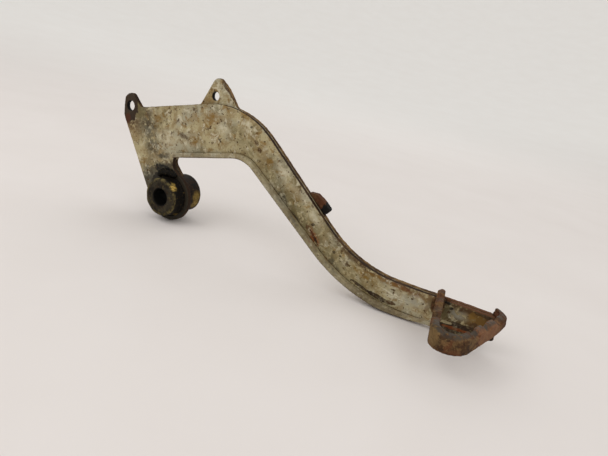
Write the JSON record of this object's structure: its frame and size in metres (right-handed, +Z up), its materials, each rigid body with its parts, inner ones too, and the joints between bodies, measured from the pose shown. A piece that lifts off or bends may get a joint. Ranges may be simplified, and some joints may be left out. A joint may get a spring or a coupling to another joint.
{
  "type": "brake pedal",
  "caption": "Worn motorbike rear brake pedal: cranked two-sheet steel arm on a pivot boss, with rod ear, return-spring tab, stop block and a toothed foot tread loop.",
  "frame": {"origin": "on the pivot axis at mid-length of the boss", "axes": "+X forward along the arm to the foot tread, +Y inboard along the pivot, +Z up"},
  "size_m": [0.2893, 0.0672, 0.1077],
  "materials": {
    "worn_paint": "worn satin, stained and chipped to rust",
    "greasy_steel": "dark with old grease",
    "rusty_steel": "dark rust",
    "worn_steel": "brown rust with a rim rubbed grey"
  },
  "bodies": {
    "root": {"arm_plate": "worn_paint", "arm_stiffener": "worn_paint", "pivot_boss": "greasy_steel", "stop_block": "rusty_steel", "foot_tread": "worn_steel"}
  },
  "joints": []
}
